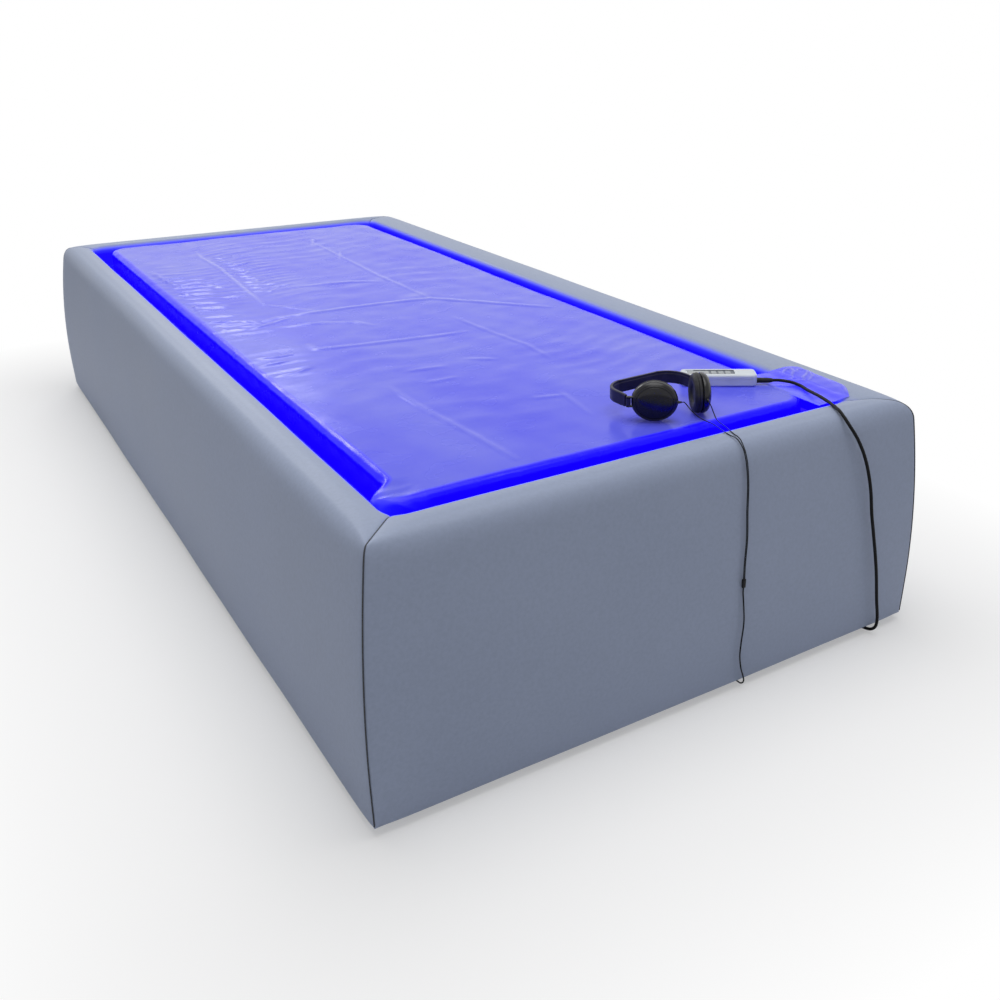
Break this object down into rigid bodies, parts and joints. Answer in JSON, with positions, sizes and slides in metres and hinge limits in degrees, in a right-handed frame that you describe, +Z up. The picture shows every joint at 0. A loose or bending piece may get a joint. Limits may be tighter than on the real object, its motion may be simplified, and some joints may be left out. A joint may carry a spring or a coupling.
{
  "type": "dry float bed",
  "caption": "Low upholstered flotation bed: heated water tub under a waterproof film, lift platform, lit channel inside the rim, wired handset and headphones.",
  "frame": {"origin": "floor level, at the centre of the bed's plan", "axes": "+Y towards the head end, +X across the bed, +Z up"},
  "size_m": [1.1, 2.4192, 0.5113],
  "materials": {
    "padding": "satin faux leather",
    "board": "plain plywood",
    "deck": "plain plywood",
    "insulation": "foam board",
    "heater": "matt",
    "tub": "satin",
    "film": "glossy film",
    "light": "lit diffuser",
    "foam": "open foam",
    "rubber": "matt",
    "case": "satin",
    "white": "satin",
    "key": "matt",
    "window": "gloss",
    "black": "satin",
    "cushion": "matt",
    "metal": "satin"
  },
  "bodies": {
    "bed": {"air_pump": "case", "base_board": "board", "control_box": "case", "deck": "deck", "film": "film", "floor_glide_1": "rubber", "floor_glide_2": "rubber", "floor_glide_3": "rubber", "floor_glide_4": "rubber", "floor_glide_5": "rubber", "floor_glide_6": "rubber", "foot_board": "board", "foot_light_bar": "light", "foot_padding": "padding", "handset_back": "white", "handset_boot": "black", "handset_cord": "black", "handset_front": "white", "handset_plug": "black", "handset_window": "window", "head_board": "board", "head_light_bar": "light", "head_padding": "padding", "headphone_cord": "black", "headphone_jack": "black", "heater_mat": "heater", "insulation": "insulation", "left_air_cell": "rubber", "left_air_pipe": "rubber", "left_arm": "metal", "left_board": "board", "left_lead": "black", "left_light_bar": "light", "left_padding": "padding", "left_tub_rail": "board", "power_inlet": "black", "rib_1": "board", "rib_2": "board", "rib_3": "board", "right_air_cell": "rubber", "right_air_pipe": "rubber", "right_arm": "metal", "right_board": "board", "right_lead": "black", "right_light_bar": "light", "right_padding": "padding", "right_tub_rail": "board", "water_tub": "tub", "y_split": "black"},
    "lift": {"lift_platform": "tub", "platform_pad": "foam"},
    "main_switch": {"main_switch": "rubber"},
    "handset_key_1": {"handset_key_1": "key"},
    "handset_key_2": {"handset_key_2": "key"},
    "handset_key_3": {"handset_key_3": "key"},
    "headband": {"headband": "black"},
    "left_cup": {"left_ear_cup": "black", "left_ear_cushion": "cushion"},
    "right_cup": {"right_ear_cup": "black", "right_ear_cushion": "cushion"}
  },
  "joints": [
    {"name": "platform_lift", "type": "slide", "parent": "bed", "child": "lift", "axis": [0, 0, 1], "range_m": [-0.11, 0], "deforming": ["left_air_cell", "right_air_cell"]},
    {"name": "main_switch_rock", "type": "hinge", "parent": "bed", "child": "main_switch", "pos_m": [0.018, 1.156, 0.085], "axis": [1, 0, 0], "range_deg": [-8, 8]},
    {"name": "handset_key_1_press", "type": "slide", "parent": "bed", "child": "handset_key_1", "axis": [0, 0, -1], "range_m": [0, 0.0008], "stiffness_N_per_m": 400},
    {"name": "handset_key_2_press", "type": "slide", "parent": "bed", "child": "handset_key_2", "axis": [0, 0, -1], "range_m": [0, 0.0008], "stiffness_N_per_m": 400},
    {"name": "handset_key_3_press", "type": "slide", "parent": "bed", "child": "handset_key_3", "axis": [0, 0, -1], "range_m": [0, 0.0008], "stiffness_N_per_m": 400},
    {"name": "headband_slide", "type": "slide", "parent": "bed", "child": "headband", "axis": [-0.0454, 0.999, 0], "range_m": [0, 0.018]},
    {"name": "left_cup_fold", "type": "hinge", "parent": "bed", "child": "left_cup", "pos_m": [0.04968, -0.96675, 0.4763], "axis": [0, 0, 1], "range_deg": [-52, 0]},
    {"name": "right_cup_fold", "type": "hinge", "parent": "bed", "child": "right_cup", "pos_m": [0.20592, -0.95965, 0.4763], "axis": [0, 0, 1], "range_deg": [0, 30]}
  ]
}
